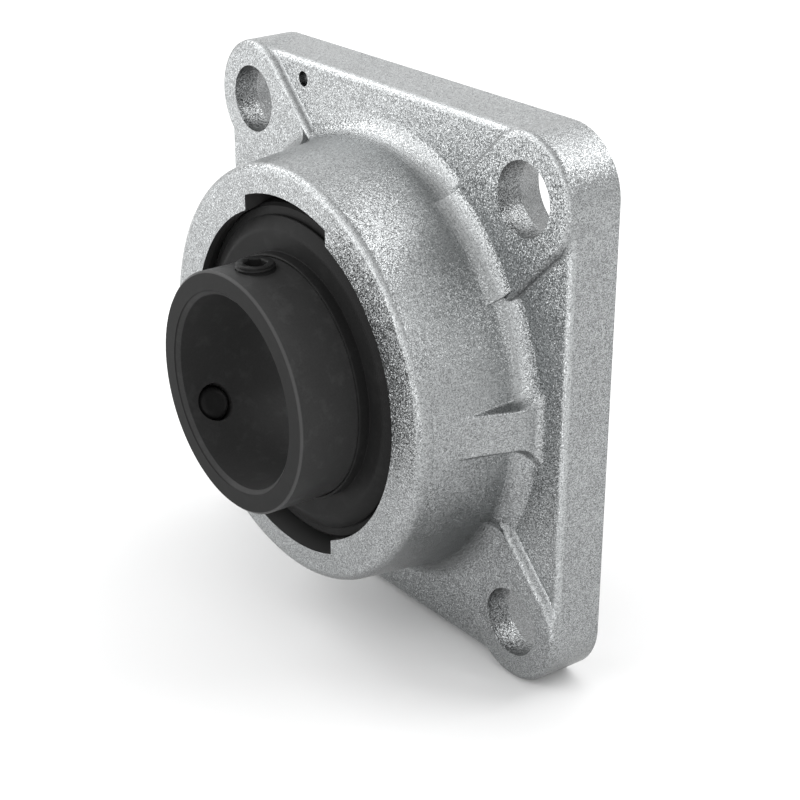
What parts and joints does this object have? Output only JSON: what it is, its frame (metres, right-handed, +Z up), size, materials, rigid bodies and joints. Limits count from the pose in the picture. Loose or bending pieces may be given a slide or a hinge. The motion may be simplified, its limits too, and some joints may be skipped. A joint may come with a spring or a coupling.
{
  "type": "square flange bearing",
  "caption": "Square cast flange with a hub that carries a tilting ball bearing insert, for holding the end of a shaft square to a wall.",
  "frame": {"origin": "centre of the bolt pattern and of the shaft bore, at the flange's back face", "axes": "+Z up, -Y out of the wall along the shaft axis towards the nose, +X to the right seen from the nose"},
  "size_m": [0.143, 0.0606, 0.143],
  "materials": {
    "zinc_casting": "zinc-coated sand casting with a fine bright grain",
    "phosphated_steel": "black phosphated, satin",
    "phosphated_sheet": "black phosphated pressed sheet, satin",
    "plain_sheet": "dull plated sheet",
    "cage_sheet": "pressed sheet, satin",
    "ball_steel": "polished",
    "black_screw": "black oxide"
  },
  "bodies": {
    "housing": {"housing": "zinc_casting"},
    "outer": {"outer_ring": "phosphated_steel", "front_shield": "plain_sheet", "rear_shield": "plain_sheet"},
    "inner": {"inner_ring": "phosphated_steel", "front_flinger": "phosphated_sheet", "rear_flinger": "phosphated_sheet"},
    "cage": {"cage_front": "cage_sheet", "cage_rear": "cage_sheet", "cage_rivets": "cage_sheet"},
    "ball_01": {"ball_01": "ball_steel"},
    "ball_02": {"ball_02": "ball_steel"},
    "ball_03": {"ball_03": "ball_steel"},
    "ball_04": {"ball_04": "ball_steel"},
    "ball_05": {"ball_05": "ball_steel"},
    "ball_06": {"ball_06": "ball_steel"},
    "ball_07": {"ball_07": "ball_steel"},
    "ball_08": {"ball_08": "ball_steel"},
    "ball_09": {"ball_09": "ball_steel"},
    "ball_10": {"ball_10": "ball_steel"},
    "top_screw": {"set_screw_top": "black_screw"},
    "side_screw": {"set_screw_side": "black_screw"}
  },
  "joints": [
    {"name": "insert_tilt", "type": "hinge", "parent": "housing", "child": "outer", "pos_m": [0, -0.028, 0], "axis": [1, 0, 0], "range_deg": [-5, 5]},
    {"name": "shaft_spin", "type": "hinge", "parent": "outer", "child": "inner", "pos_m": [0, -0.028, 0], "axis": [0, -1, 0], "continuous": true},
    {"name": "cage_spin", "type": "hinge", "parent": "outer", "child": "cage", "pos_m": [0, -0.028, 0], "axis": [0, -1, 0], "continuous": true},
    {"name": "ball_01_spin", "type": "hinge", "parent": "cage", "child": "ball_01", "pos_m": [0, -0.028, 0.035], "axis": [0, -1, 0], "continuous": true},
    {"name": "ball_02_spin", "type": "hinge", "parent": "cage", "child": "ball_02", "pos_m": [-0.02057, -0.028, 0.02832], "axis": [0, -1, 0], "continuous": true},
    {"name": "ball_03_spin", "type": "hinge", "parent": "cage", "child": "ball_03", "pos_m": [-0.03329, -0.028, 0.01082], "axis": [0, -1, 0], "continuous": true},
    {"name": "ball_04_spin", "type": "hinge", "parent": "cage", "child": "ball_04", "pos_m": [-0.03329, -0.028, -0.01082], "axis": [0, -1, 0], "continuous": true},
    {"name": "ball_05_spin", "type": "hinge", "parent": "cage", "child": "ball_05", "pos_m": [-0.02057, -0.028, -0.02832], "axis": [0, -1, 0], "continuous": true},
    {"name": "ball_06_spin", "type": "hinge", "parent": "cage", "child": "ball_06", "pos_m": [0, -0.028, -0.035], "axis": [0, -1, 0], "continuous": true},
    {"name": "ball_07_spin", "type": "hinge", "parent": "cage", "child": "ball_07", "pos_m": [0.02057, -0.028, -0.02832], "axis": [0, -1, 0], "continuous": true},
    {"name": "ball_08_spin", "type": "hinge", "parent": "cage", "child": "ball_08", "pos_m": [0.03329, -0.028, -0.01082], "axis": [0, -1, 0], "continuous": true},
    {"name": "ball_09_spin", "type": "hinge", "parent": "cage", "child": "ball_09", "pos_m": [0.03329, -0.028, 0.01082], "axis": [0, -1, 0], "continuous": true},
    {"name": "ball_10_spin", "type": "hinge", "parent": "cage", "child": "ball_10", "pos_m": [0.02057, -0.028, 0.02832], "axis": [0, -1, 0], "continuous": true},
    {"name": "top_screw_travel", "type": "slide", "parent": "inner", "child": "top_screw", "axis": [0, 0, 1], "range_m": [-0.001, 0.004]},
    {"name": "side_screw_travel", "type": "slide", "parent": "inner", "child": "side_screw", "axis": [-0.866, 0, -0.5], "range_m": [-0.001, 0.004]}
  ],
  "couplings": [
    {"joint": "cage_spin", "follows": "shaft_spin", "ratio": 0.40929},
    {"joint": "ball_01_spin", "follows": "shaft_spin", "ratio": -2.6652},
    {"joint": "ball_02_spin", "follows": "shaft_spin", "ratio": -2.6652},
    {"joint": "ball_03_spin", "follows": "shaft_spin", "ratio": -2.6652},
    {"joint": "ball_04_spin", "follows": "shaft_spin", "ratio": -2.6652},
    {"joint": "ball_05_spin", "follows": "shaft_spin", "ratio": -2.6652},
    {"joint": "ball_06_spin", "follows": "shaft_spin", "ratio": -2.6652},
    {"joint": "ball_07_spin", "follows": "shaft_spin", "ratio": -2.6652},
    {"joint": "ball_08_spin", "follows": "shaft_spin", "ratio": -2.6652},
    {"joint": "ball_09_spin", "follows": "shaft_spin", "ratio": -2.6652},
    {"joint": "ball_10_spin", "follows": "shaft_spin", "ratio": -2.6652}
  ]
}
